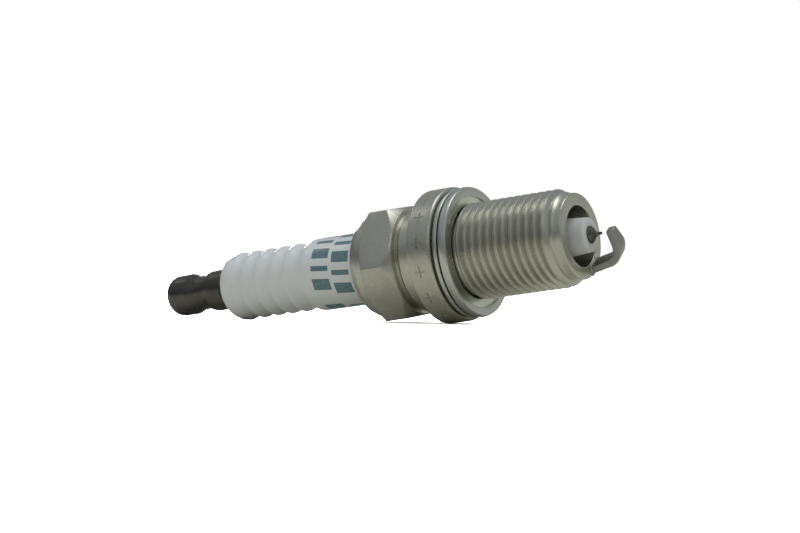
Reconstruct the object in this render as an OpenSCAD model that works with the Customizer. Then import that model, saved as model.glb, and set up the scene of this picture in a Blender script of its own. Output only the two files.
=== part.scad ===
/* [Thread and seat] */
// Major diameter of the thread
thread_d = 14; // [13.9:0.01:14.0]
// Pitch of the thread
thread_pitch = 1.25; // [1.0:0.25:1.25]
// Reach, from the shell's seat to the shell's firing end
reach = 19; // [18:0.5:21]
// Thickness of the new gasket, before it is crushed
gasket_t = 2.35; // [2.2:0.05:2.4]
// Outer diameter of the gasket
gasket_d = 18.9; // [18.5:0.1:19.2]
// Outer diameter of the shell's collar
collar_d = 19.5; // [19:0.1:20]
// Length of the collar
collar_l = 3.75; // [3.5:0.05:4]

/* [Hexagon] */
// Width across the flats
hex_af = 16; // [15.8:0.1:16]
// Turn of the hexagon about the plug's axis, from a corner at -Y, in degrees
hex_turn = 5.5; // [0:0.5:60]
// Length of the hexagon over its flats
hex_l = 5.95; // [5.5:0.05:6.3]
// Length of the crimp groove between the collar and the hexagon
groove_l = 3.25; // [3:0.05:3.5]

/* [Insulator] */
// Diameter of the smooth head above the shell
head_d = 10.8; // [10.4:0.1:10.9]
// Diameter over the ribs
rib_d = 10.25; // [10:0.05:10.4]
// Depth of the grooves between the ribs
rib_depth = 0.42; // [0.3:0.02:0.6]
// Spacing of the ribs
rib_pitch = 2.63; // [2.5:0.01:2.7]
// Number of ribs
rib_count = 5; // [4:1:6]
// Length that the nose stands out of the shell
nose_out = 1.5; // [1:0.1:2]
// Diameter of the nose at its end
nose_d = 4.94; // [4.6:0.02:5.2]

/* [Terminal] */
// Largest diameter of the terminal nut
terminal_d = 6.35; // [6.3:0.05:6.4]
// Distance from the shell's seat to the top of the terminal nut
overall_l = 53; // [52.5:0.1:54]
// Diameter of the stud's screw end
stud_d = 4; // [3.9:0.05:4.1]
// Radial clearance between the stud and the nut
stud_gap = 0.03; // [0.02:0.01:0.1]

/* [Electrodes] */
// Diameter of the centre electrode
electrode_d = 2.4; // [2.2:0.1:2.4]
// Diameter of the fine firing wire
wire_d = 0.4; // [0.4:0.1:0.6]
// Spark gap between the wire and the strap
spark_gap = 1; // [0.6:0.1:1.1]
// Width of the ground strap
strap_w = 2.3; // [2.2:0.1:2.8]
// Thickness of the ground strap
strap_t = 1.2; // [1.1:0.05:1.3]
// Width of the strap's tapered tip
strap_tip_w = 1.2; // [1.1:0.1:2.2]
// Turn of the strap's foot about the axis, from straight down, in degrees
strap_turn = 35; // [0:1:90]
// Lean of the strap's leg towards the axis, in degrees
strap_lean = 13.5; // [0:0.5:15]
// Slope of the strap's arm back towards the shell, in degrees
strap_slope = 6.5; // [0:0.5:8]

/* [Hidden] */
$fn = 96;
small_fn = 32;
arc_steps = 12;
edge_steps = 4;
eps = 0.01;

// Stations along X, from the sealing plane at x = 0, positive towards the firing end
gasket_play = 0.05;
seat_x = -gasket_t - gasket_play;
end_x = seat_x + reach;
collar_x = seat_x - collar_l;
hex_x = collar_x - groove_l;
hex_back_x = hex_x - hex_l;
lip_l = 2.65;
lip_x = hex_back_x - lip_l;

// Thread
thread_r = thread_d / 2;
root_depth = 0.6134 * thread_pitch;
relief_r = 6.45;
relief_end_x = 0.2;
thread_x = relief_end_x + (thread_r - relief_r);
pilot_r = 6.15;
pilot_l = 1;
pilot_edge = 0.3;
lead_l = 1.5;
lead_x = end_x - pilot_l - lead_l;
turns = round((lead_x - thread_x) / thread_pitch);
crest_w = thread_pitch / 8;
root_w = thread_pitch / 4;

// Shell
collar_r = collar_d / 2;
collar_edge = 0.25;
hex_corner_a = 30;
hex_corner_r = hex_af / 2 / cos(hex_corner_a);
hex_front_chamfer = 1.2;
hex_back_chamfer = 0.95;
neck_r = 7.3;
neck_bulge = 0.4;
lip_r = 7.7;
lip_end_r = 6.2;
lip_edge = 0.25;
chamber_r = 6.3;
lip_hook_l = 1.1;
chamber_x = lip_x + lip_hook_l;
head_gap = 0.1;
lip_bore_r = head_d / 2 + head_gap;
bore_r = 4.85;
ledge_r = 4.05;
ledge_l = 1.2;
ledge_front_x = end_x - 11;
ledge_x = ledge_front_x - ledge_l;
mouth_r = 4.36;
mouth_edge = 0.15;

// Insulator
head_r = head_d / 2;
rib_r = rib_d / 2;
head_l = 41.1;
head_end_x = seat_x - head_l;
end_flat_r = 3.5;
end_l = 2.5;
first_rib_x = head_end_x + end_l;
rib_steps = 10;
blend_l = 2.4;
last_valley_x = first_rib_x + (rib_count - 0.5) * rib_pitch;
packing_l = 4.7;
step_x = chamber_x + packing_l;
neck_step = 0.2;
neck_in_r = head_r - neck_step;
neck_in_x = lip_x - head_gap;
belly_r = 6.1;
belly_edge = 0.2;
waist_r = 4.7;
seat_gap = 0.5;
nose_root_r = 3.55;
nose_r = nose_d / 2;
nose_x = end_x + nose_out;
nose_edge = 0.25;
stud_bore_r = 2.0;
electrode_bore_r = 1.25;
head_seat_x = seat_x + 4.2;
head_seat_l = 0.4;
shoulder_x = collar_x + 0.15;
cone_sum = chamber_r + shoulder_x;
belly_gap = 0.3;
ledge_sum = ledge_r + ledge_x;

// Packing
ring_wire_r = 0.52;
ring_mid_r = (neck_in_r + chamber_r) / 2;
lower_ring_x = step_x - ring_wire_r;
upper_ring_x = chamber_x + ring_wire_r;
washer_gap = 0.05;
washer_in_r = ledge_r + washer_gap;
washer_out_r = waist_r - washer_gap;

// Centre electrode, fired wire and seals
electrode_r = electrode_d / 2;
wire_r = wire_d / 2;
strap_in_x = end_x + 4.25;
wire_x = strap_in_x - spark_gap;
wire_out = 0.85;
weld_x = wire_x - wire_out;
weld_l = 0.4;
weld_foot_r = 0.36;
weld_top_r = 0.24;
cone_l = 0.7;
cone_x = weld_x - cone_l;
flange_r = 1.8;
flange_l = 1.0;
knob_r = 1.1;
knob_l = 1.0;
core_r = 0.62;
core_gap = 2.3;
core_x = cone_x - core_gap;
core_tip_l = 0.6;
seal_l = 4;
seal_x = head_seat_x - seal_l;
resistor_l = 8.7;
resistor_x = seal_x - resistor_l;
upper_seal_x = resistor_x - seal_l;

// Terminal stud and nut
foot_gap = 3;
foot_x = resistor_x - foot_gap;
knurl_l = 5.0;
knurl_r = 1.85;
knurl_groove = 0.2;
knurl_pitch = 0.8;
shaft_r = 1.7;
stud_flange_r = 2.9;
stud_flange_l = 0.8;
stud_r = stud_d / 2;
stud_pitch = 0.7;
stud_root = 0.43;
nut_base_x = head_end_x - stud_flange_l;
nut_top_x = seat_x - overall_l;
stud_short = 2.7;
stud_end_x = nut_top_x + stud_short;
stud_edge = 0.4;
stud_turns = floor((nut_base_x - stud_end_x - 2 * stud_edge) / stud_pitch);
terminal_r = terminal_d / 2;
nut_skirt_r = 3.15;
nut_edge = 0.25;
nut_skirt_l = 3.1;
nut_nose_r = 2.2;
nut_land_l = 1.4;
nut_waist = 0.52;
nut_bore_over = 0.3;
nut_bore_end_x = stud_end_x - nut_bore_over;

// Ground strap, as a centreline from the end face: leg, bend and arm
strap_foot_r = 5.22;
strap_leg_l = 2.95;
strap_bend_r = 2.8;
strap_tip_r = -0.47;
strap_taper_r = 2;
strap_sink = 0.5;
strap_arm_a = 90 + strap_slope;
strap_centre = [
    strap_foot_r - strap_leg_l * sin(strap_lean) - strap_bend_r * cos(strap_lean),
    end_x + strap_leg_l * cos(strap_lean) - strap_bend_r * sin(strap_lean)
];
strap_arm_l = (strap_centre[0] + strap_bend_r * cos(strap_arm_a) - strap_tip_r) / sin(strap_arm_a);

// Quarter of an ellipse between a flat end at [r0, x0] and a barrel at [r1, x1], from 0 to 90 or back
function quarter(r0, x0, r1, x1, from, to, steps) =
    [for (i = [0 : steps])
        let (a = from + (to - from) * i / steps)
        [r0 + (r1 - r0) * sin(a), x1 + (x0 - x1) * cos(a)]];

// One face of the strap at a distance from its centreline: heel, bend and tip
function strap_face(offset, sink) =
    let (
        r = strap_bend_r + offset,
        heel = strap_leg_l + sink,
        lean = strap_lean,
        arm = strap_arm_a,
        c = strap_centre
    )
    concat(
        [c + [r * cos(lean) + heel * sin(lean), r * sin(lean) - heel * cos(lean)]],
        [for (i = [0 : arc_steps])
            let (a = lean + (arm - lean) * i / arc_steps)
            c + [r * cos(a), r * sin(a)]],
        [c + [r * cos(arm) - strap_arm_l * sin(arm), r * sin(arm) + strap_arm_l * cos(arm)]]
    );

function reversed(list) = [for (i = [len(list) - 1 : -1 : 0]) list[i]];

function rib_outline() =
    [for (i = [0 : rib_steps * (rib_count - 0.5)])
        let (x = first_rib_x + i * rib_pitch / rib_steps)
        [rib_r - rib_depth / 2 * (1 - cos(360 * i / rib_steps)), x]];

function blend_outline(steps) =
    [for (i = [1 : steps])
        let (k = (1 - cos(180 * i / steps)) / 2)
        [rib_r - rib_depth + k * (head_r - rib_r + rib_depth), last_valley_x + blend_l * i / steps]];

function waist_outline(r0, x0, r1, x1, dip, steps) =
    [for (i = [0 : steps])
        let (k = i / steps)
        [r0 + (r1 - r0) * k - dip * (1 - pow(2 * k - 1, 2)), x0 + (x1 - x0) * k]];

module along_x() {
    rotate([0, 90, 0]) children();
}

module turned(points) {
    along_x() rotate_extrude() polygon(points);
}

module rod(r, from, to) {
    along_x() translate([0, 0, from]) cylinder(r = r, h = to - from);
}

module ring(mid_r, x, wire_r) {
    along_x() translate([0, 0, x]) rotate_extrude() translate([mid_r, 0]) circle(r = wire_r, $fn = small_fn);
}

module thread_cut(r, x, pitch, depth, crest, root) {
    slope = (pitch - crest - root) / 2 / depth;
    over = depth / 2;
    turned([
        [r - depth, x + crest + depth * slope],
        [r + over, x + crest - over * slope],
        [r + over, x + pitch + over * slope],
        [r - depth, x + pitch - depth * slope]
    ]);
}

module shell_blank() {
    turned(concat(
        [[0, end_x]],
        quarter(pilot_r - pilot_edge, end_x, pilot_r, end_x - pilot_edge, 0, 90, edge_steps),
        [
            [pilot_r, end_x - pilot_l],
            [thread_r, lead_x],
            [thread_r, thread_x],
            [relief_r, relief_end_x],
            [relief_r, seat_x],
            [collar_r - collar_edge, seat_x],
            [collar_r, seat_x - collar_edge],
            [collar_r, collar_x + collar_edge],
            [collar_r - collar_edge, collar_x]
        ],
        waist_outline(neck_r, collar_x, neck_r, hex_x, -neck_bulge, arc_steps),
        [[neck_r, hex_back_x]],
        quarter(lip_end_r, lip_x, lip_r, hex_back_x - lip_edge, 90, 0, arc_steps),
        [
            [lip_bore_r, lip_x + lip_edge],
            [0, lip_x + lip_edge]
        ]
    ));
}

module hexagon() {
    intersection() {
        along_x()
            rotate([0, 0, hex_corner_a + hex_turn])
                translate([0, 0, hex_back_x])
                    cylinder(r = hex_corner_r, h = hex_l, $fn = 6);
        turned([
            [0, hex_x],
            [hex_af / 2, hex_x],
            [hex_corner_r + eps, hex_x - hex_front_chamfer],
            [hex_corner_r + eps, hex_back_x + hex_back_chamfer],
            [hex_af / 2, hex_back_x],
            [0, hex_back_x]
        ]);
    }
}

module shell_bore() {
    turned([
        [0, end_x + eps],
        [mouth_r + mouth_edge + eps, end_x + eps],
        [mouth_r, end_x - mouth_edge],
        [mouth_r, ledge_front_x + mouth_r - ledge_r],
        [ledge_r, ledge_front_x],
        [ledge_r, ledge_x],
        [bore_r, ledge_sum - bore_r],
        [bore_r, cone_sum - bore_r],
        [chamber_r, cone_sum - chamber_r],
        [chamber_r, chamber_x],
        [lip_bore_r, chamber_x],
        [lip_bore_r, lip_x - eps],
        [0, lip_x - eps]
    ]);
}

module shell() {
    color("#b9b9ae") difference() {
        union() {
            shell_blank();
            hexagon();
        }
        shell_bore();
        for (i = [0 : turns - 1]) {
            thread_cut(thread_r, thread_x + i * thread_pitch, thread_pitch, root_depth, crest_w, root_w);
        }
    }
}

// One strip of sheet steel, folded flat into two rolls with a thin inner lip
module gasket() {
    rear_t = 0.95;
    front_t = 1.25;
    inner_r = 6.75;
    lip_back_x = -1.6;
    lip_front_x = -0.45;
    roll_in_r = 8.2;
    web_t = 0.4;
    color("#c9cbc2") along_x() rotate_extrude() {
        translate([inner_r, lip_back_x]) square([roll_in_r - inner_r + eps, lip_front_x - lip_back_x]);
        translate([roll_in_r, -gasket_t]) square([gasket_d / 2 - roll_in_r - rear_t / 2, rear_t]);
        translate([gasket_d / 2 - rear_t / 2, -gasket_t + rear_t / 2]) circle(r = rear_t / 2, $fn = small_fn);
        translate([roll_in_r, -front_t]) square([gasket_d / 2 - roll_in_r - front_t / 2, front_t]);
        translate([gasket_d / 2 - front_t / 2, -front_t / 2]) circle(r = front_t / 2, $fn = small_fn);
        translate([roll_in_r, -gasket_t + rear_t - eps]) square([web_t, gasket_t - rear_t - front_t + 2 * eps]);
    }
}

module strap_plan() {
    polygon([
        [strap_tip_r - strap_t, -strap_tip_w / 2],
        [strap_tip_r, -strap_tip_w / 2],
        [strap_taper_r, -strap_w / 2],
        [pilot_r, -strap_w / 2],
        [pilot_r, strap_w / 2],
        [strap_taper_r, strap_w / 2],
        [strap_tip_r, strap_tip_w / 2],
        [strap_tip_r - strap_t, strap_tip_w / 2]
    ]);
}

module ground_electrode() {
    half_t = strap_t / 2;
    color("#9c9c90") along_x() rotate([0, 0, strap_turn]) intersection() {
        rotate([90, 0, 0]) linear_extrude(2 * strap_w, center = true)
            polygon(concat(strap_face(half_t, strap_sink), reversed(strap_face(-half_t, strap_sink))));
        translate([0, 0, end_x]) linear_extrude(reach) strap_plan();
    }
}

module insulator() {
    color("#e9eae6") difference() {
        turned(concat(
            [[0, head_end_x]],
            quarter(end_flat_r, head_end_x, rib_r, first_rib_x, 0, 90, arc_steps),
            rib_outline(),
            blend_outline(rib_steps),
            [
                [head_r, neck_in_x],
                [neck_in_r, neck_in_x],
                [neck_in_r, step_x],
                [belly_r - belly_edge, step_x],
                [belly_r, step_x + belly_edge],
                [belly_r, cone_sum - belly_gap - belly_r],
                [waist_r, cone_sum - belly_gap - waist_r],
                [waist_r, ledge_sum - seat_gap - waist_r],
                [nose_root_r, ledge_sum - seat_gap - nose_root_r]
            ],
            quarter(nose_r - nose_edge, nose_x, nose_r, nose_x - nose_edge, 90, 0, edge_steps),
            [[0, nose_x]]
        ));
        rod(stud_bore_r, head_end_x - eps, head_seat_x);
        turned([
            [0, head_seat_x - eps],
            [stud_bore_r, head_seat_x - eps],
            [electrode_bore_r, head_seat_x + head_seat_l],
            [electrode_bore_r, nose_x + eps],
            [0, nose_x + eps]
        ]);
    }
}

module seat_washer() {
    color("#a8a8a4") turned([
        [washer_in_r, ledge_sum - washer_in_r],
        [washer_out_r, ledge_sum - washer_out_r],
        [washer_out_r, ledge_sum - seat_gap - washer_out_r],
        [washer_in_r, ledge_sum - seat_gap - washer_in_r]
    ]);
}

module lower_packing_ring() {
    color("#a8a8a4") ring(ring_mid_r, lower_ring_x, ring_wire_r);
}

module upper_packing_ring() {
    color("#a8a8a4") ring(ring_mid_r, upper_ring_x, ring_wire_r);
}

module talc_packing() {
    color("#f2efe6") difference() {
        turned([
            [neck_in_r, lower_ring_x],
            [chamber_r, lower_ring_x],
            [chamber_r, upper_ring_x],
            [neck_in_r, upper_ring_x]
        ]);
        ring(ring_mid_r, lower_ring_x, ring_wire_r);
        ring(ring_mid_r, upper_ring_x, ring_wire_r);
    }
}

module core_shape() {
    turned([
        [0, head_seat_x - flange_l - knob_l],
        [core_r, head_seat_x - flange_l - knob_l],
        [core_r, core_x - core_tip_l],
        [core_r / 2, core_x],
        [0, core_x]
    ]);
}

module electrode_shape() {
    turned([
        [0, head_seat_x - flange_l - knob_l],
        [knob_r, head_seat_x - flange_l - knob_l],
        [knob_r, head_seat_x - flange_l],
        [flange_r, head_seat_x - flange_l],
        [flange_r, head_seat_x],
        [electrode_r, head_seat_x + head_seat_l],
        [electrode_r, cone_x],
        [weld_foot_r, weld_x],
        [0, weld_x]
    ]);
}

module center_electrode() {
    color("#7d7d78") difference() {
        electrode_shape();
        core_shape();
    }
}

module electrode_core() {
    color("#b87333") core_shape();
}

module tip_weld() {
    color("#8f8f88") difference() {
        turned([
            [0, weld_x],
            [weld_foot_r, weld_x],
            [weld_top_r, weld_x + weld_l],
            [0, weld_x + weld_l]
        ]);
        rod(wire_r, weld_x - eps, weld_x + weld_l + eps);
    }
}

module iridium_tip() {
    color("#55555a") rod(wire_r, weld_x, wire_x);
}

module lower_glass_seal() {
    color("#3c4046") difference() {
        rod(stud_bore_r, seal_x, head_seat_x);
        electrode_shape();
        core_shape();
    }
}

module resistor() {
    color("#26282b") rod(stud_bore_r, resistor_x, seal_x);
}

module stud_foot() {
    turned([
        [0, foot_x],
        [knurl_r - knurl_groove, foot_x],
        [knurl_r, foot_x - knurl_groove],
        [knurl_r, foot_x - knurl_l],
        [shaft_r, foot_x - knurl_l - knurl_groove],
        [0, foot_x - knurl_l - knurl_groove]
    ]);
}

module upper_glass_seal() {
    color("#3c4046") difference() {
        rod(stud_bore_r, upper_seal_x, resistor_x);
        stud_foot();
    }
}

module terminal_stud() {
    color("#8c8c88") difference() {
        union() {
            stud_foot();
            rod(shaft_r, head_end_x - eps, foot_x - knurl_l);
            rod(stud_flange_r, head_end_x - stud_flange_l, head_end_x);
            turned([
                [0, nut_base_x + eps],
                [stud_r, nut_base_x + eps],
                [stud_r, stud_end_x + stud_edge],
                [stud_r - stud_edge, stud_end_x],
                [0, stud_end_x]
            ]);
        }
        for (i = [0 : stud_turns - 1]) {
            thread_cut(
                stud_r, nut_base_x - stud_edge - (i + 1) * stud_pitch,
                stud_pitch, stud_root, stud_pitch / 8, stud_pitch / 4
            );
        }
        for (x = [foot_x - knurl_pitch : -knurl_pitch : upper_seal_x]) {
            thread_cut(knurl_r, x - knurl_pitch, knurl_pitch, knurl_groove, knurl_pitch / 2, knurl_pitch / 8);
        }
    }
}

module terminal_nut() {
    land_x = nut_top_x + nut_nose_r;
    color("#3a3936") difference() {
        turned(concat(
            [
                [0, nut_base_x],
                [nut_skirt_r - nut_edge, nut_base_x],
                [nut_skirt_r, nut_base_x - nut_edge]
            ],
            waist_outline(
                nut_skirt_r, nut_base_x - nut_skirt_l,
                terminal_r, land_x + nut_land_l,
                nut_waist, arc_steps
            ),
            quarter(terminal_r - nut_nose_r, nut_top_x, terminal_r, land_x, 90, 0, arc_steps),
            [[0, nut_top_x]]
        ));
        turned([
            [0, nut_base_x + eps],
            [stud_r + stud_gap, nut_base_x + eps],
            [stud_r + stud_gap, nut_bore_end_x],
            [0, nut_bore_end_x - stud_r / 2]
        ]);
    }
}

shell();
gasket();
ground_electrode();
insulator();
seat_washer();
lower_packing_ring();
talc_packing();
upper_packing_ring();
center_electrode();
electrode_core();
tip_weld();
iridium_tip();
lower_glass_seal();
resistor();
upper_glass_seal();
terminal_stud();
terminal_nut();
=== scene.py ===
import math

import bmesh
import bpy
from mathutils import Matrix, Vector


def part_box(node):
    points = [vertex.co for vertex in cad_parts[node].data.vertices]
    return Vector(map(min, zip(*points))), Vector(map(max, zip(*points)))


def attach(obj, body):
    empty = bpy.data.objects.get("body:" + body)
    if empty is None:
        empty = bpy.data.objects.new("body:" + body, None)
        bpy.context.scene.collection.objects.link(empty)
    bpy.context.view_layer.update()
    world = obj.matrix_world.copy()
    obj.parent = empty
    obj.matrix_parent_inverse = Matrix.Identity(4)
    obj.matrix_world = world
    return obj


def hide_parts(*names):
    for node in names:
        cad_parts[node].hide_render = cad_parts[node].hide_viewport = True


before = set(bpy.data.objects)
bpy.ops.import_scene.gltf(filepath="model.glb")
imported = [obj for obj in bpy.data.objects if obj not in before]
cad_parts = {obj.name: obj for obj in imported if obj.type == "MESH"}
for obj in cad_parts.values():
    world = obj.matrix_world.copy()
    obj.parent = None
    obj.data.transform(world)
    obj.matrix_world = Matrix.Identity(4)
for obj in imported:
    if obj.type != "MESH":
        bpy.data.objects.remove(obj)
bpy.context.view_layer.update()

MM = 0.001
scene = bpy.context.scene
scene.view_settings.view_transform = "Standard"


# ---------------------------------------------------------------- camera and studio
# The plug lies on a white bench. It rests on the rear edge of its collar and on the first rib
# of the insulator, so the bench leans a few degrees in the plug's own frame.
collar_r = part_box("shell")[1].y
rest_collar_x = -5.93 * MM
rest_rib_x, rest_rib_r = -41.0 * MM, 5.125 * MM
bench_lean = math.atan((collar_r - rest_rib_r) / (rest_collar_x - rest_rib_x))
bench_turn = Matrix.Rotation(bench_lean, 4, "Y")
bench_up = bench_turn @ Vector((0, 0, 1))
bench_drop = collar_r * math.cos(bench_lean) - rest_collar_x * math.sin(bench_lean)

# The camera is just above the bench, in front of the firing end, and looks back along the plug.
camera = bpy.data.objects.new("camera", bpy.data.cameras.new("camera"))
camera.data.sensor_width = 36
camera.data.lens = 96.66
camera.data.clip_start = 0.01
camera.data.clip_end = 20
camera.matrix_world = (
    Matrix.Translation((0.15135, -0.26784, -0.02138))
    @ Matrix.Rotation(math.radians(7.231), 4, "Y")
    @ Matrix.Rotation(math.radians(31.802), 4, "Z")
    @ Matrix.Rotation(math.radians(90), 4, "X")
)
scene.collection.objects.link(camera)
scene.camera = camera

bench_mesh = bpy.data.meshes.new("bench")
bm = bmesh.new()
bmesh.ops.create_grid(bm, x_segments=4, y_segments=4, size=3.0)
bmesh.ops.translate(bm, vec=(0, 0, -bench_drop), verts=bm.verts)
bmesh.ops.rotate(bm, cent=(0, 0, 0), matrix=bench_turn.to_3x3(), verts=bm.verts)
bm.to_mesh(bench_mesh)
bm.free()
bench = bpy.data.objects.new("bench", bench_mesh)
scene.collection.objects.link(bench)

# Paper: bright white to the lens, and a dimmer, warmer sheet to the metal that mirrors it.
paper = bpy.data.materials.new("bench_paper")
paper.use_nodes = True
tree = paper.node_tree
tree.nodes.clear()
sheet = tree.nodes.new("ShaderNodeBsdfDiffuse")
tone = tree.nodes.new("ShaderNodeMix")
tone.data_type = "RGBA"
tone.inputs["A"].default_value = (0.78, 0.76, 0.68, 1)
tone.inputs["B"].default_value = (6.0, 6.0, 6.0, 1)
path = tree.nodes.new("ShaderNodeLightPath")
tree.links.new(path.outputs["Is Camera Ray"], tone.inputs["Factor"])
tree.links.new(tone.outputs["Result"], sheet.inputs["Color"])
tree.links.new(sheet.outputs["BSDF"], tree.nodes.new("ShaderNodeOutputMaterial").inputs["Surface"])
bench_mesh.materials.append(paper)

# The room: dim in front of the plug, brighter behind it, pale overhead, and plain white to the lens.
# Matt surfaces get a fill from it on top of what the metal mirrors.
world = bpy.data.worlds.new("studio")
scene.world = world
world.use_nodes = True
tree = world.node_tree
tree.nodes.clear()
direction = tree.nodes.new("ShaderNodeTexCoord").outputs["Generated"]


def along(way, darkest, brightest, stops):
    """A colour ramp on how far a direction points a given way."""
    product = tree.nodes.new("ShaderNodeVectorMath")
    product.operation = "DOT_PRODUCT"
    product.inputs[1].default_value = way
    share = tree.nodes.new("ShaderNodeMapRange")
    share.inputs["From Min"].default_value = darkest
    share.inputs["From Max"].default_value = brightest
    ramp = tree.nodes.new("ShaderNodeValToRGB")
    ramp.color_ramp.elements[0].position, ramp.color_ramp.elements[0].color = stops[0][0], (*stops[0][1], 1)
    ramp.color_ramp.elements[1].position, ramp.color_ramp.elements[1].color = stops[-1][0], (*stops[-1][1], 1)
    for position, color in stops[1:-1]:
        ramp.color_ramp.elements.new(position).color = (*color, 1)
    tree.links.new(direction, product.inputs[0])
    tree.links.new(product.outputs["Value"], share.inputs["Value"])
    tree.links.new(share.outputs["Result"], ramp.inputs["Fac"])
    return ramp.outputs["Color"]


level = along((0.52, 0.85, 0.0), -1, 1, [
    (0.0, (0.08, 0.08, 0.08)), (0.35, (0.10, 0.10, 0.10)),
    (0.62, (0.18, 0.18, 0.18)), (1.0, (0.46, 0.47, 0.45)),
])
rise = along(bench_up, 0, 1, [
    (0.05, (0.0, 0.0, 0.0)), (0.3, (0.55, 0.55, 0.55)), (0.5, (0.95, 0.95, 0.95)), (0.75, (1.0, 1.0, 1.0)),
])
dome = tree.nodes.new("ShaderNodeMix")
dome.data_type = "RGBA"
dome.inputs["B"].default_value = (0.33, 0.35, 0.37, 1)
seen = tree.nodes.new("ShaderNodeMix")
seen.data_type = "RGBA"
seen.inputs["B"].default_value = (1, 1, 1, 1)
path = tree.nodes.new("ShaderNodeLightPath")
room = tree.nodes.new("ShaderNodeBackground")
tree.links.new(rise, dome.inputs["Factor"])
tree.links.new(level, dome.inputs["A"])
tree.links.new(path.outputs["Is Camera Ray"], seen.inputs["Factor"])
tree.links.new(dome.outputs["Result"], seen.inputs["A"])
tree.links.new(seen.outputs["Result"], room.inputs["Color"])
fill = tree.nodes.new("ShaderNodeMath")
fill.operation = "MULTIPLY_ADD"
fill.inputs[1].default_value = 0.7
fill.inputs[2].default_value = 1.0
tree.links.new(path.outputs["Is Diffuse Ray"], fill.inputs[0])
tree.links.new(fill.outputs["Value"], room.inputs["Strength"])
tree.links.new(room.outputs["Background"], tree.nodes.new("ShaderNodeOutputWorld").inputs["Surface"])


def softbox(name, azimuth, elevation, distance, size, power, color):
    """A square light that faces the plug: azimuth from +X towards +Y, elevation from the bench."""
    lamp = bpy.data.lights.new(name, "AREA")
    lamp.shape = "SQUARE"
    lamp.size = size
    lamp.energy = power
    lamp.color = color
    a, e = math.radians(azimuth), math.radians(elevation)
    toward = bench_turn @ Vector((math.cos(e) * math.cos(a), math.cos(e) * math.sin(a), math.sin(e)))
    made = bpy.data.objects.new(name, lamp)
    made.rotation_mode = "QUATERNION"
    made.rotation_quaternion = toward.to_track_quat("Z", "Y")
    made.location = toward * distance
    made.visible_camera = False
    scene.collection.objects.link(made)


softbox("overhead", 60, 82, 0.9, 0.5, 1.6, (0.95, 0.98, 1.0))
softbox("window", -175, 47, 0.8, 0.14, 0.08, (1.0, 0.99, 0.96))
softbox("front", -40, 42, 0.8, 0.16, 0.10, (1.0, 0.99, 0.96))
softbox("rear_lamp", 134, 10, 0.8, 0.07, 0.3, (1.0, 1.0, 0.98))


# ---------------------------------------------------------------- shell
# The shell is one piece of cold-formed and turned steel, nickel plated: a rolled lip over the
# insulator, the hexagon, a crimp groove, the collar with its stamped crosses, and the thread.
SEGMENTS = 180
seat_x = -2.4
end_x = seat_x + 19
collar_x = seat_x - 3.75
hex_x = collar_x - 3.25
hex_back_x = hex_x - 5.95
lip_x = hex_back_x - 2.65
hex_flat = 8.0
hex_corner = hex_flat / math.cos(math.radians(30))
hex_turn = math.radians(35.5)
hex_front_r = 7.3
hex_back_r = 7.9
hex_back_chamfer = 0.95
pitch = 1.25
thread_r = 7.0
thread_crest = 0.16 * pitch
relief_r = 6.45
relief_x = -0.35
thread_grows_over = 0.6
pilot_r = 6.15
lead_x = end_x - 2.5
lead_end_x = end_x - 1.0
shell_r = 9.75


def outline(corners, closed=False, steps=4):
    """Points of a profile. A corner is (x, r) or (x, r, rounding), in millimetres."""
    points = []
    for i, corner in enumerate(corners):
        here = Vector(corner[:2])
        sharp = len(corner) < 3 or (not closed and i in (0, len(corners) - 1))
        if sharp:
            points.append(here)
            continue
        before = Vector(corners[i - 1][:2]) - here
        after = Vector(corners[(i + 1) % len(corners)][:2]) - here
        reach = corner[2] / math.tan(before.angle(after) / 2)
        reach = min(reach, 0.45 * before.length, 0.45 * after.length)
        start = here + before.normalized() * reach
        end = here + after.normalized() * reach
        for k in range(steps + 1):
            t = k / steps
            points.append((1 - t) ** 2 * start + 2 * t * (1 - t) * here + t * t * end)
    return points


def lathe(bm, points, closed=False, segments=SEGMENTS):
    """Turns a profile about the plug's axis."""
    verts = [bm.verts.new((x * MM, 0, r * MM)) for x, r in points]
    follow = verts[1:] + verts[:1] if closed else verts[1:]
    edges = [bm.edges.new(pair) for pair in zip(verts, follow)]
    bmesh.ops.spin(
        bm, geom=verts + edges, cent=(0, 0, 0), axis=(1, 0, 0),
        angle=math.tau, steps=segments, use_merge=True,
    )


def screw_thread(bm, pitch, major_r, depth, crest, first_x, turns, segments=SEGMENTS):
    """Winds a right-handed thread about the axis: one turn is spun, and copies follow a pitch apart."""
    flank = depth * math.tan(math.radians(30))
    foot = (pitch - crest - 2 * flank) / 2
    root_r = major_r - depth
    profile = outline([
        (first_x, root_r),
        (first_x + foot, root_r, 0.12 * pitch),
        (first_x + foot + flank, major_r, 0.06 * pitch),
        (first_x + foot + flank + crest, major_r, 0.06 * pitch),
        (first_x + foot + 2 * flank + crest, root_r, 0.12 * pitch),
        (first_x + pitch, root_r),
    ], steps=3)
    verts = [bm.verts.new((x * MM, 0, r * MM)) for x, r in profile]
    edges = [bm.edges.new(pair) for pair in zip(verts, verts[1:])]
    bmesh.ops.spin(
        bm, geom=verts + edges, cent=(0, 0, 0), axis=(1, 0, 0),
        angle=math.tau, steps=segments, dvec=(pitch / segments * MM, 0, 0),
    )
    first = bm.verts[:] + bm.edges[:] + bm.faces[:]
    for k in range(1, turns):
        copied = bmesh.ops.duplicate(bm, geom=first)["geom"]
        moved = [g for g in copied if isinstance(g, bmesh.types.BMVert)]
        bmesh.ops.translate(bm, vec=(k * pitch * MM, 0, 0), verts=moved)


def set_radius(v, x, r):
    """Moves a vertex to a station and a radius, at the angle it has."""
    now = math.hypot(v.co.y, v.co.z)
    v.co = (x * MM, v.co.y * r * MM / now, v.co.z * r * MM / now)


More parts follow.
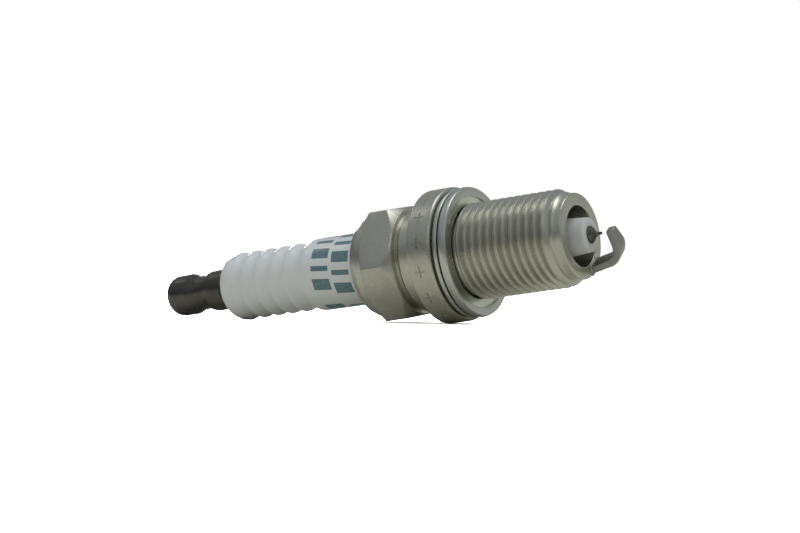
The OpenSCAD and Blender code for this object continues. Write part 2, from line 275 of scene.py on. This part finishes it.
def finish_piece(bm, name, body, nodes, material, sharp=32):
    """Closes the mesh, turns its faces outwards, and makes it the piece that stands for those CAD nodes."""
    bmesh.ops.remove_doubles(bm, verts=bm.verts, dist=0.0015 * MM)
    bmesh.ops.recalc_face_normals(bm, faces=bm.faces)
    for face in bm.faces:
        face.smooth = True
    for edge in bm.edges:
        edge.smooth = edge.calc_face_angle(0) < math.radians(sharp)
    mesh = bpy.data.meshes.new(name)
    bm.to_mesh(mesh)
    bm.free()
    mesh.materials.append(material)
    piece = bpy.data.objects.new(name, mesh)
    scene.collection.objects.link(piece)
    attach(piece, body)
    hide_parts(*nodes)
    return piece


def shader(name):
    """A new material with nodes: its tree, its Principled shader and its Object coordinates."""
    made = bpy.data.materials.new(name)
    made.use_nodes = True
    tree = made.node_tree
    tree.nodes.clear()
    out = tree.nodes.new("ShaderNodeOutputMaterial")
    surface = tree.nodes.new("ShaderNodeBsdfPrincipled")
    place = tree.nodes.new("ShaderNodeTexCoord")
    tree.links.new(surface.outputs["BSDF"], out.inputs["Surface"])
    return made, tree, surface, place.outputs["Object"]


def node_group(name, inputs, outputs):
    """An empty shader node group with named sockets: its tree, its input node and its output node."""
    group = bpy.data.node_groups.new(name, "ShaderNodeTree")
    for socket, kind in inputs:
        group.interface.new_socket(socket, in_out="INPUT", socket_type=f"NodeSocket{kind}")
    for socket, kind in outputs:
        group.interface.new_socket(socket, in_out="OUTPUT", socket_type=f"NodeSocket{kind}")
    return group, group.nodes.new("NodeGroupInput"), group.nodes.new("NodeGroupOutput")


def plug_in(tree, socket, value):
    """Sets a socket to a constant, or links another socket to it."""
    if isinstance(value, (int, float, tuple)):
        socket.default_value = value
    else:
        tree.links.new(value, socket)


def maths(tree, operation, a, b=0.0, c=0.0, clamp=False):
    """A Math node on values or sockets."""
    made = tree.nodes.new("ShaderNodeMath")
    made.operation = operation
    made.use_clamp = clamp
    for socket, value in zip(made.inputs, (a, b, c)):
        plug_in(tree, socket, value)
    return made.outputs[0]


def noise_at(tree, place, scale, detail=2.0, stretch=(1, 1, 1)):
    """Noise at a scale per metre, stretched along the axes."""
    mapping = tree.nodes.new("ShaderNodeMapping")
    mapping.inputs["Scale"].default_value = stretch
    made = tree.nodes.new("ShaderNodeTexNoise")
    made.inputs["Scale"].default_value = scale
    made.inputs["Detail"].default_value = detail
    tree.links.new(place, mapping.inputs["Vector"])
    tree.links.new(mapping.outputs["Vector"], made.inputs["Vector"])
    return made.outputs["Fac"]


def mixed(tree, factor, a, b):
    """A colour between two colours or sockets."""
    made = tree.nodes.new("ShaderNodeMix")
    made.data_type = "RGBA"
    for socket, value in zip((made.inputs["Factor"], made.inputs["A"], made.inputs["B"]), (factor, a, b)):
        plug_in(tree, socket, value)
    return made.outputs["Result"]


def bumped(tree, height, relief, surface):
    """A height feeds the shader's normal, with a relief in millimetres."""
    bump = tree.nodes.new("ShaderNodeBump")
    bump.inputs["Distance"].default_value = relief * MM
    tree.links.new(height, bump.inputs["Height"])
    tree.links.new(bump.outputs["Normal"], surface.inputs["Normal"])


# Plated metal: a fine grain, faint rings from the lathe, and slow stains in the plating.
plating, given, made = node_group(
    "plated_metal",
    [("Place", "Vector"), ("Color", "Color"), ("Stain", "Color"), ("Stain Amount", "Float"),
     ("Roughness", "Float"), ("Grain", "Float"), ("Rings", "Float")],
    [("Color", "Color"), ("Roughness", "Float"), ("Height", "Float")],
)
grain = noise_at(plating, given.outputs["Place"], 6500, 3)
rings = noise_at(plating, given.outputs["Place"], 1000, 2, (9, 0.15, 0.15))
stain = noise_at(plating, given.outputs["Place"], 260, 4)
stain = maths(plating, "MULTIPLY_ADD", stain, 3.0, -1.2, clamp=True)
stain = maths(plating, "MULTIPLY", stain, given.outputs["Stain Amount"])
speckle = maths(plating, "MULTIPLY_ADD", grain, 2.4, -0.7, clamp=True)
speckle = maths(plating, "MULTIPLY", speckle, maths(plating, "MULTIPLY", given.outputs["Grain"], 0.5))
worn = mixed(plating, stain, given.outputs["Color"], given.outputs["Stain"])
plating.links.new(mixed(plating, speckle, worn, given.outputs["Stain"]), made.inputs["Color"])
wander = maths(plating, "MULTIPLY_ADD", grain, 0.12, maths(plating, "MULTIPLY", stain, 0.2))
plating.links.new(maths(plating, "ADD", given.outputs["Roughness"], wander), made.inputs["Roughness"])
turned = maths(plating, "MULTIPLY", rings, given.outputs["Rings"])
height = maths(plating, "MULTIPLY_ADD", grain, given.outputs["Grain"], turned)
plating.links.new(height, made.inputs["Height"])


def metal(name, color, stain, stain_amount=0.3, roughness=0.25, grain=0.5, rings=0.3, relief=0.02):
    """A metal with the plated_metal group's grain, rings and stains."""
    made, tree, surface, place = shader(name)
    plate = tree.nodes.new("ShaderNodeGroup")
    plate.node_tree = plating
    for socket, value in (("Color", (*color, 1)), ("Stain", (*stain, 1)), ("Stain Amount", stain_amount),
                          ("Roughness", roughness), ("Grain", grain), ("Rings", rings)):
        plate.inputs[socket].default_value = value
    surface.inputs["Metallic"].default_value = 1
    tree.links.new(place, plate.inputs["Place"])
    tree.links.new(plate.outputs["Color"], surface.inputs["Base Color"])
    tree.links.new(plate.outputs["Roughness"], surface.inputs["Roughness"])
    bumped(tree, plate.outputs["Height"], relief, surface)
    return made


# The thread: its first turns grow out of the plain relief, and its last ones run out on the lead cone.
bm = bmesh.new()
thread_turns = math.ceil((lead_end_x - relief_x) / pitch) + 2
screw_thread(bm, pitch, thread_r, 0.6134 * pitch, thread_crest, relief_x - 2 * pitch, thread_turns)
for v in bm.verts:
    x, r = v.co.x / MM, math.hypot(v.co.y, v.co.z) / MM
    cone = thread_r - (x - lead_x) * (thread_r - pilot_r) / (lead_end_x - lead_x)
    grown = min(1, max(0, (x - relief_x) / thread_grows_over))
    r = relief_r + (r - relief_r) * grown * grown * (3 - 2 * grown)
    set_radius(v, min(lead_end_x, max(relief_x, x)), min(r, max(pilot_r, cone)))

# The turned outline, in two runs on either side of the band that carries the crosses.
cross_x, cross_arm, cross_round, cross_line, cross_margin, cross_count = -4.45, 0.8, 0.9, 0.09, 0.12, 15
lathe(bm, outline([
    (lead_end_x, pilot_r),
    (end_x, pilot_r, 0.3),
    (end_x, 4.36, 0.12),
    (6.3, 4.36),
    (5.6, 4.05),
    (4.4, 4.05),
    (3.6, 4.85),
    (-4.55, 4.85),
    (-6.0, 6.3),
    (-16.9, 6.3),
    (-16.9, 5.5),
    (lip_x + 0.2, 5.5, 0.08),
    (lip_x, 6.0, 0.25),
    (lip_x + 0.4, 7.0, 0.6),
    (lip_x + 1.5, 7.62, 0.8),
    (hex_back_x, hex_back_r),
    (hex_back_x + hex_back_chamfer, hex_corner),
    (hex_x - (hex_corner - hex_front_r), hex_corner),
    (hex_x - 0.5, hex_front_r + 0.5, 0.1),
    (hex_x - 0.4, 7.1, 0.08),
    (hex_x + 0.05, 7.1, 0.1),
    (hex_x + 0.6, 7.7, 0.3),
    (collar_x - 0.9, 7.7, 0.4),
    (collar_x - 0.35, 7.3, 0.15),
    (collar_x, 7.3, 0.1),
    (collar_x, shell_r, 0.22),
    (cross_x - cross_arm - cross_margin, shell_r),
]))
lathe(bm, outline([
    (cross_x + cross_arm + cross_margin, shell_r),
    (seat_x, shell_r, 0.55),
    (seat_x, relief_r, 0.15),
    (relief_x, relief_r),
]))
bmesh.ops.remove_doubles(bm, verts=bm.verts, dist=0.0015 * MM)


# The hexagon: the turned blank's corners stay, and its flats are pressed to 16 mm.
def flat_r(v):
    """The hexagon's radius at a vertex's angle."""
    turn = math.degrees(math.atan2(v.co.y, v.co.z)) % 60 - 30
    return hex_flat / math.cos(math.radians(turn))


corner_rings = [v for v in bm.verts if math.hypot(v.co.y, v.co.z) / MM > 9.0 and v.co.x / MM < hex_x]
for v in corner_rings:
    r = flat_r(v)
    if v.co.x / MM < hex_x - hex_flat / 2:
        set_radius(v, hex_back_x + (r - hex_back_r) * hex_back_chamfer / (hex_corner - hex_back_r), r)
    else:
        set_radius(v, hex_x - (r - hex_front_r), r)
ring_set = set(corner_rings)
rim_edges = [
    e for e in bm.edges
    if ring_set.issuperset(e.verts)
    and (abs(e.verts[0].co.x - e.verts[1].co.x) < 0.5 * MM
         or abs(math.hypot(e.verts[0].co.y, e.verts[0].co.z) / MM - hex_corner) < 0.001)
]
bmesh.ops.bevel(
    bm, geom=rim_edges, offset=0.07 * MM, offset_type="OFFSET", affect="EDGES",
    segments=2, profile=0.5, material=-1, clamp_overlap=True,
)
bmesh.ops.rotate(bm, cent=(0, 0, 0), matrix=Matrix.Rotation(hex_turn, 3, "X"), verts=bm.verts)

# The crosses: one sector of the band is cut and stamped, and its copies go round the collar.
band = bmesh.new()
cross_middle = math.radians(12.9)
sector_start = math.radians(8)
rows = [cross_x - cross_arm - cross_margin, cross_x - cross_arm, cross_x - cross_line,
        cross_x + cross_line, cross_x + cross_arm, cross_x + cross_arm + cross_margin]
verts = [band.verts.new((x * MM, 0, shell_r * MM)) for x in rows]
edges = [band.edges.new(pair) for pair in zip(verts, verts[1:])]
bmesh.ops.spin(
    band, geom=verts + edges, cent=(0, 0, 0), axis=(1, 0, 0),
    angle=math.tau / cross_count, steps=SEGMENTS // cross_count,
)
band.normal_update()
if band.faces[:][0].normal.z < 0:
    bmesh.ops.reverse_faces(band, faces=band.faces[:])
for turn in (-cross_round, -cross_line, cross_line, cross_round):
    a = cross_middle + turn / shell_r
    inner = [f for f in band.faces if abs(f.calc_center_median().x / MM - cross_x) < cross_arm]
    geom = set(inner)
    for f in inner:
        geom.update(f.edges, f.verts)
    bmesh.ops.bisect_plane(
        band, geom=list(geom), dist=1e-8, plane_co=(0, 0, 0), plane_no=(0, math.cos(a), math.sin(a)),
    )
stamped = []
for f in band.faces:
    c = f.calc_center_median()
    away = abs(math.atan2(-c.y, c.z) - cross_middle) * shell_r
    aside = abs(c.x / MM - cross_x)
    if (away < cross_round and aside < cross_line) or (away < cross_line and aside < cross_arm):
        stamped.append(f)
bmesh.ops.inset_region(band, faces=stamped, thickness=0.05 * MM, depth=-0.12 * MM, use_even_offset=True)
first = band.verts[:] + band.edges[:] + band.faces[:]
for k in range(1, cross_count):
    copied = bmesh.ops.duplicate(band, geom=first)["geom"]
    bmesh.ops.rotate(
        band, cent=(0, 0, 0), matrix=Matrix.Rotation(math.tau * k / cross_count, 3, "X"),
        verts=[g for g in copied if isinstance(g, bmesh.types.BMVert)],
    )
bmesh.ops.rotate(
    band, cent=(0, 0, 0), matrix=Matrix.Rotation(hex_turn + sector_start, 3, "X"), verts=band.verts,
)
band_mesh = bpy.data.meshes.new("cross_band")
band.to_mesh(band_mesh)
band.free()
bm.from_mesh(band_mesh)

shell_metal = metal("shell_nickel", (0.62, 0.61, 0.53), (0.38, 0.38, 0.32), 0.3, 0.22, 0.8, 0.35, 0.025)
finish_piece(bm, "shell_body", "plug", ["shell"], shell_metal)


# ---------------------------------------------------------------- gasket
# The gasket is one strip of thin steel, folded into two rolls and held on the shell by its
# inner lip. It is plated like the shell, and turns freely on it.
gasket_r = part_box("gasket")[1].y / MM
bm = bmesh.new()
lathe(bm, outline([
    (-0.45, 6.75, 0.15),
    (-0.45, 8.03, 0.1),
    (0.0, 8.13, 0.12),
    (0.0, gasket_r - 0.1, 0.35),
    (-0.62, gasket_r, 0.3),
    (-1.2, gasket_r - 0.1, 0.3),
    (-1.25, 9.0, 0.1),
    (-1.27, 8.6, 0.02),
    (-1.38, 8.6, 0.02),
    (-1.4, 8.95, 0.1),
    (-1.45, gasket_r - 0.08, 0.2),
    (-1.75, gasket_r, 0.25),
    (-2.05, gasket_r - 0.08, 0.2),
    (-2.12, 9.0, 0.2),
    (-2.35, 8.6, 0.2),
    (-2.35, 8.2, 0.2),
    (-1.6, 8.1, 0.15),
    (-1.6, 6.75, 0.15),
], closed=True), closed=True)
gasket_metal = metal("gasket_steel", (0.66, 0.67, 0.62), (0.44, 0.45, 0.41), 0.25, 0.24, 0.6, 0.5)

# Inside a radius of 8.0 mm, fading out by 8.25 mm, its inner lip is coloured a paler, greener tone than the
# rest.
tree = gasket_metal.node_tree
plate = next(n for n in tree.nodes if n.type == "GROUP")
place = next(n for n in tree.nodes if n.type == "TEX_COORD").outputs["Object"]
split = tree.nodes.new("ShaderNodeSeparateXYZ")
tree.links.new(place, split.inputs[0])
away = maths(tree, "POWER", split.outputs["Y"], 2.0)
away = maths(tree, "SQRT", maths(tree, "ADD", maths(tree, "POWER", split.outputs["Z"], 2.0), away))
pale = maths(tree, "MULTIPLY_ADD", away, -4000.0, 33.0, clamp=True)
tree.links.new(mixed(tree, pale, (0.62, 0.63, 0.58, 1), (0.86, 0.92, 0.76, 1)), plate.inputs["Color"])
finish_piece(bm, "gasket_ring", "gasket", ["gasket"], gasket_metal)


# ---------------------------------------------------------------- ground electrode
# The ground strap is a bar of nickel alloy, resistance welded to the shell's end face, bent
# over the wire and cut to a taper at its tip. Metal pressed out of the weld stands round its foot.
strap_w, strap_t, strap_tip_w, strap_edge = 2.3, 1.2, 1.2, 0.16
strap_foot_r, strap_leg_l, strap_bend_r, strap_tip_r, strap_taper_r = 5.22, 2.95, 2.8, -0.47, 2.0
strap_turn = math.radians(35)
strap_lean = math.radians(13.5)
strap_arm_a = math.radians(90 + 6.5)
strap_leg = Vector((math.cos(strap_lean), -math.sin(strap_lean)))
strap_out = Vector((math.sin(strap_lean), math.cos(strap_lean)))
strap_centre = Vector((end_x, strap_foot_r)) + strap_leg * strap_leg_l - strap_out * strap_bend_r
strap_bend_l = (strap_arm_a - strap_lean) * strap_bend_r
strap_arm_r = strap_centre.y + strap_bend_r * math.cos(strap_arm_a)
strap_arm_l = (strap_arm_r - strap_tip_r) / math.sin(strap_arm_a)
strap_l = strap_leg_l + strap_bend_l + strap_arm_l


def strap_place(s, across, out):
    """A point of the bent strap: s along it, across its width and out from its centreline."""
    a = strap_lean + min(max(s - strap_leg_l, 0), strap_bend_l) / strap_bend_r
    extra = min(s - strap_leg_l, 0) + max(s - strap_leg_l - strap_bend_l, 0)
    x = strap_centre.x + (strap_bend_r + out) * math.sin(a) + extra * math.cos(a)
    r = strap_centre.y + (strap_bend_r + out) * math.cos(a) - extra * math.sin(a)
    if r < strap_taper_r:
        tapered = min(1, (strap_taper_r - r) / (strap_taper_r - strap_tip_r))
        across *= 1 + (strap_tip_w / strap_w - 1) * tapered
    return Vector((x * MM, -across * MM, -r * MM))


def rounded_bar(bm, length, width, height, edge, segments=3):
    """A bar from s = 0 along +X with every edge rounded."""
    made = bmesh.ops.create_cube(bm, size=1)["verts"]
    bmesh.ops.scale(bm, vec=(length, width, height), verts=made)
    bmesh.ops.translate(bm, vec=(length / 2, 0, 0), verts=made)
    edges = list({e for v in made for e in v.link_edges})
    bmesh.ops.bevel(
        bm, geom=edges, offset=edge, offset_type="OFFSET", affect="EDGES",
        segments=segments, profile=0.5, material=-1, clamp_overlap=True,
    )


bm = bmesh.new()
rounded_bar(bm, strap_l, strap_w, strap_t, strap_edge)
slices = 48
for k in range(1, slices):
    bmesh.ops.bisect_plane(
        bm, geom=bm.verts[:] + bm.edges[:] + bm.faces[:], dist=1e-6,
        plane_co=(strap_l * k / slices, 0, 0), plane_no=(1, 0, 0),
    )
for v in bm.verts:
    v.co = strap_place(*v.co)
burr = bmesh.new()
rounded_bar(burr, 0.34, strap_w + 0.46, strap_t + 0.36, 0.15)
for v in burr.verts:
    v.co = Vector(((end_x - 0.1 + v.co.x) * MM, -v.co.y * MM, -(strap_foot_r + v.co.z) * MM))
burr_mesh = bpy.data.meshes.new("weld_burr")
burr.to_mesh(burr_mesh)
burr.free()
bm.from_mesh(burr_mesh)
bmesh.ops.rotate(bm, cent=(0, 0, 0), matrix=Matrix.Rotation(strap_turn, 3, "X"), verts=bm.verts)
strap_metal = metal("strap_nickel", (0.46, 0.46, 0.41), (0.27, 0.27, 0.24), 0.5, 0.34, 0.9, 0.0, 0.03)
finish_piece(bm, "ground_strap", "plug", ["ground_electrode"], strap_metal, sharp=60)


# ---------------------------------------------------------------- insulator
# The insulator is pressed and fired alumina. Its head is ribbed and glazed, and carries a
# printed band of marks; its nose, inside the shell and at the firing end, is bare and matt.
head_r, rib_r, rib_depth, rib_pitch, rib_count = 5.4, 5.125, 0.42, 2.63, 5
head_end_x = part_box("insulator")[0].x / MM
rear_end_l = 2.5
first_rib_x = head_end_x + rear_end_l
end_flat_r = 3.5
nose_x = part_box("insulator")[1].x / MM
rib_steps = 20
blend_steps = 16
blend_l = 2.4
rear_end = [Vector((first_rib_x - rear_end_l * math.cos(a), end_flat_r + (rib_r - end_flat_r) * math.sin(a)))
            for a in (math.pi / 2 * i / rib_steps for i in range(rib_steps + 1))]
ribs = [Vector((
    first_rib_x + i * rib_pitch / rib_steps,
    rib_r - rib_depth / 2 * (1 - math.cos(math.tau * i / rib_steps)),
)) for i in range(1, int(rib_steps * (rib_count - 0.5)))]
valley_x = first_rib_x + (rib_count - 0.5) * rib_pitch
blend = [Vector((
    valley_x + blend_l * k,
    rib_r - rib_depth + (1 - math.cos(math.pi * k)) / 2 * (head_r - rib_r + rib_depth),
)) for k in (i / blend_steps for i in range(blend_steps + 1))]
bm = bmesh.new()
lathe(bm, [
    *outline([(head_end_x, 2.0, 0.1), (head_end_x, end_flat_r)])[:-1],
    *rear_end,
    *ribs,
    *blend,
    *outline([
        (lip_x - 0.1, head_r, 0.05), (lip_x - 0.1, 5.2, 0.05), (-12.2, 5.2, 0.1), (-12.2, 6.1, 0.2),
        (-5.6, 6.1, 0.2), (-4.0, 4.68, 0.2), (4.3, 4.68, 0.1), (4.7, 4.2, 0.3), (6.0, 3.5, 0.5),
        (nose_x, 2.44, 0.28),
        (nose_x, 1.25, 0.05), (2.2, 1.25), (1.8, 2.0), (head_end_x, 2.0),
    ]),
])

# Glaze over a faintly mottled body, ink in two rows of marks, and a bare nose that is rough and matt.
alumina, tree, surface, place = shader("alumina")
split = tree.nodes.new("ShaderNodeSeparateXYZ")
tree.links.new(place, split.inputs[0])
station = split.outputs["X"]
cloud = noise_at(tree, place, 220, 3)
grit = noise_at(tree, place, 5200, 4)
turn = maths(tree, "ARCTAN2", split.outputs["Z"], maths(tree, "MULTIPLY", split.outputs["Y"], -1.0))


def between(value, low, high):
    """1 where a value lies between two bounds."""
    above = maths(tree, "GREATER_THAN", value, low)
    return maths(tree, "MULTIPLY", above, maths(tree, "LESS_THAN", value, high))


def inked_row(low_x, high_x, marks, offset):
    """A row of marks round the head, wide and narrow in turn, one left out. The number of marks is even."""
    v = maths(tree, "MULTIPLY_ADD", station, 1 / ((high_x - low_x) * MM), -low_x / (high_x - low_x))
    slant = maths(tree, "MULTIPLY", v, 0.12)
    u = maths(tree, "MULTIPLY_ADD", turn, marks / math.tau, offset)
    cell = maths(tree, "FLOOR", maths(tree, "ADD", u, slant))
    u = maths(tree, "FRACT", maths(tree, "ADD", u, slant))
    odd = maths(tree, "FRACT", maths(tree, "MULTIPLY", cell, 0.5))
    odd = maths(tree, "GREATER_THAN", odd, 0.25)
    row = between(v, 0.0, 1.0)
    block = maths(tree, "MULTIPLY", between(u, 0.14, 0.86), row)
    bar = maths(tree, "MULTIPLY", between(u, 0.34, 0.66), row)
    mark = maths(tree, "MULTIPLY_ADD", maths(tree, "SUBTRACT", block, bar), odd, bar)
    left_out = maths(tree, "COMPARE", cell, -2.0, 0.5)
    return maths(tree, "MULTIPLY", mark, maths(tree, "SUBTRACT", 1.0, left_out))


rear_row = inked_row(-25.6, -22.6, 14, 0.2)
front_row = inked_row(-22.0, -19.0, 14, 0.62)
printed = maths(tree, "ADD", rear_row, front_row, clamp=True)
printed = maths(tree, "MULTIPLY", printed, maths(tree, "MULTIPLY_ADD", grit, 0.5, 0.62, clamp=True))
bare = maths(tree, "GREATER_THAN", station, 0.0)
glaze = mixed(tree, cloud, (0.80, 0.82, 0.80, 1), (0.75, 0.77, 0.75, 1))
body = mixed(tree, grit, (0.70, 0.70, 0.67, 1), (0.60, 0.60, 0.57, 1))
ceramic = mixed(tree, bare, glaze, body)
tree.links.new(mixed(tree, printed, ceramic, (0.045, 0.15, 0.17, 1)), surface.inputs["Base Color"])
roughness = maths(tree, "MULTIPLY_ADD", bare, 0.45, maths(tree, "MULTIPLY_ADD", cloud, 0.08, 0.16))
tree.links.new(roughness, surface.inputs["Roughness"])
surface.inputs["Specular IOR Level"].default_value = 0.45
bumped(tree, maths(tree, "MULTIPLY", grit, maths(tree, "MULTIPLY_ADD", bare, 0.85, 0.1)), 0.02, surface)
finish_piece(bm, "insulator_body", "plug", ["insulator"], alumina)


# ---------------------------------------------------------------- centre electrode
# The centre electrode is a rod of nickel alloy over a copper core. It ends in a turned cone with
# a laser weld, which holds the fine iridium wire that the spark jumps from.
electrode_r = 1.2
wire_r = 0.2
wire_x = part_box("iridium_tip")[1].x / MM
weld_x, weld_end_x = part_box("tip_weld")[0].x / MM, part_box("tip_weld")[1].x / MM
cone_x = weld_x - 0.7
bm = bmesh.new()
lathe(bm, outline([
    (-0.2, 0.62), (-0.2, 1.1, 0.05), (0.8, 1.1), (0.8, 1.8, 0.1), (1.8, 1.8, 0.1), (2.2, electrode_r, 0.1),
    (cone_x, electrode_r, 0.08), (weld_x, 0.36), (weld_x, 0.0),
]), segments=96)
bmesh.ops.recalc_face_normals(bm, faces=bm.faces)
rim = [e for e in bm.edges if e.is_boundary]
bmesh.ops.contextual_create(bm, geom=rim)
electrode_metal = metal("electrode_nickel", (0.16, 0.16, 0.15), (0.07, 0.07, 0.065), 0.5, 0.34, 0.8, 0.5)
finish_piece(bm, "electrode_rod", "plug", ["center_electrode"], electrode_metal)

bm = bmesh.new()
lathe(bm, outline([
    (weld_x, 0.36, 0.03), (weld_x + 0.12, 0.37, 0.06), (weld_x + 0.26, 0.3, 0.1), (weld_end_x, 0.235, 0.04),
    (weld_end_x, 0.2), (weld_x, 0.2), (weld_x, 0.36),
]), segments=64)
weld_metal = metal("weld_alloy", (0.24, 0.24, 0.23), (0.10, 0.10, 0.10), 0.6, 0.3, 0.9, 0.0)
finish_piece(bm, "weld_bead", "plug", ["tip_weld"], weld_metal, sharp=50)

bm = bmesh.new()
lathe(bm, outline([
    (weld_x, 0.0), (weld_x, wire_r, 0.02), (wire_x, wire_r, 0.03), (wire_x, 0.0),
], steps=3), segments=48)
iridium = metal("iridium", (0.10, 0.10, 0.11), (0.05, 0.05, 0.055), 0.4, 0.3, 0.6, 0.2)
finish_piece(bm, "firing_wire", "plug", ["iridium_tip"], iridium)


# ---------------------------------------------------------------- terminal stud
# The stud is steel: a knurled foot held in the glass inside, a shaft, a flange on the insulator's
# end, and an M4 screw outside for the terminal nut.
stud_low_x, stud_high_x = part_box("terminal_stud")[0].x / MM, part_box("terminal_stud")[1].x / MM
stud_r, stud_pitch, stud_depth, stud_point = 2.0, 0.7, 0.43, 0.45
nut_base_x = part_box("terminal_nut")[1].x / MM
runout_x = nut_base_x - 0.35
bm = bmesh.new()
stud_turns = math.ceil((runout_x - stud_low_x) / stud_pitch) + 2
screw_thread(
    bm, stud_pitch, stud_r, stud_depth, stud_pitch / 8,
    stud_low_x - 1.5 * stud_pitch, stud_turns, segments=72,
)
for v in bm.verts:
    x, r = v.co.x / MM, math.hypot(v.co.y, v.co.z) / MM
    x = min(runout_x, max(stud_low_x, x))
    start = stud_r - stud_point + (x - stud_low_x)
    set_radius(v, x, min(r, start, stud_r - stud_depth + (runout_x - x)))
lathe(bm, [Vector((stud_low_x, 0)), Vector((stud_low_x, stud_r - stud_point))], segments=72)
lathe(bm, outline([
    (runout_x, stud_r - stud_depth), (nut_base_x, stud_r - stud_depth), (nut_base_x, 2.9, 0.08),
    (head_end_x, 2.9, 0.08), (head_end_x, 1.7), (stud_high_x - 5.2, 1.7), (stud_high_x - 5.0, 1.85),
    (stud_high_x - 0.2, 1.85), (stud_high_x, 1.65), (stud_high_x, 0),
]), segments=72)
stud_metal = metal("stud_steel", (0.52, 0.52, 0.50), (0.34, 0.33, 0.30), 0.3, 0.25, 0.5, 0.4)
finish_piece(bm, "stud", "plug", ["terminal_stud"], stud_metal)


# ---------------------------------------------------------------- terminal nut
# The terminal nut is turned steel, coloured dark and glossy. It screws onto the stud, and the
# plug cap's spring grips its bulb.
nut_top_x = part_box("terminal_nut")[0].x / MM
terminal_r = 3.175
nose_r = 2.2
nose_steps = 14
nose = [Vector((nut_top_x + nose_r * (1 - math.sin(a)), terminal_r - nose_r * (1 - math.cos(a))))
        for a in (math.pi / 2 * i / nose_steps for i in range(nose_steps + 1))]
bm = bmesh.new()
lathe(bm, [
    *outline([
        (nut_base_x - 8.7, 0), (nut_base_x - 7.7, 2.03), (nut_base_x, 2.03, 0.15), (nut_base_x, 3.15, 0.25),
        (nut_base_x - 2.6, 3.15, 0.6), (nut_base_x - 3.9, 2.66, 1.4), (nut_base_x - 5.3, 2.66, 1.4),
        (nut_base_x - 6.8, terminal_r, 1.2), (nut_top_x + nose_r + 0.3, terminal_r),
    ], steps=8),
    *nose,
    Vector((nut_top_x, 0)),
])
terminal_metal = metal("terminal_metal", (0.13, 0.125, 0.115), (0.06, 0.055, 0.05), 0.4, 0.2, 0.3, 0.3)
finish_piece(bm, "terminal_cap", "terminal_nut", ["terminal_nut"], terminal_metal)


# ---------------------------------------------------------------- inside the shell
# These parts are shut in between the insulator, the shell and the stud: soft steel rings and a
# washer, pressed talc, the copper core, two fused glass seals and a resistor rod.
def powder(name, light, dark, scale, roughness, relief):
    """A dull mineral: two tones of one grain, with a rough surface."""
    made, tree, surface, place = shader(name)
    fine = noise_at(tree, place, scale, 5)
    tree.links.new(mixed(tree, fine, (*light, 1), (*dark, 1)), surface.inputs["Base Color"])
    surface.inputs["Roughness"].default_value = roughness
    bumped(tree, fine, relief, surface)
    return made


packing_metal = metal("packing_steel", (0.55, 0.55, 0.53), (0.35, 0.34, 0.32), 0.4, 0.3, 0.6, 0.3)
copper = metal("copper", (0.72, 0.43, 0.27), (0.40, 0.22, 0.14), 0.3, 0.25, 0.5, 0.2)
talc = powder("talc", (0.90, 0.88, 0.83), (0.74, 0.72, 0.66), 3000, 0.95, 0.04)
seal_glass = powder("seal_glass", (0.16, 0.17, 0.19), (0.06, 0.06, 0.07), 1800, 0.35, 0.02)
resistor_body = powder("resistor_body", (0.10, 0.10, 0.11), (0.03, 0.03, 0.035), 4200, 0.85, 0.04)
inner_materials = {
    "seat_washer": packing_metal,
    "lower_packing_ring": packing_metal,
    "upper_packing_ring": packing_metal,
    "talc_packing": talc,
    "electrode_core": copper,
    "lower_glass_seal": seal_glass,
    "upper_glass_seal": seal_glass,
    "resistor": resistor_body,
}
for node, material in inner_materials.items():
    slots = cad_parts[node].data.materials
    slots.clear()
    slots.append(material)
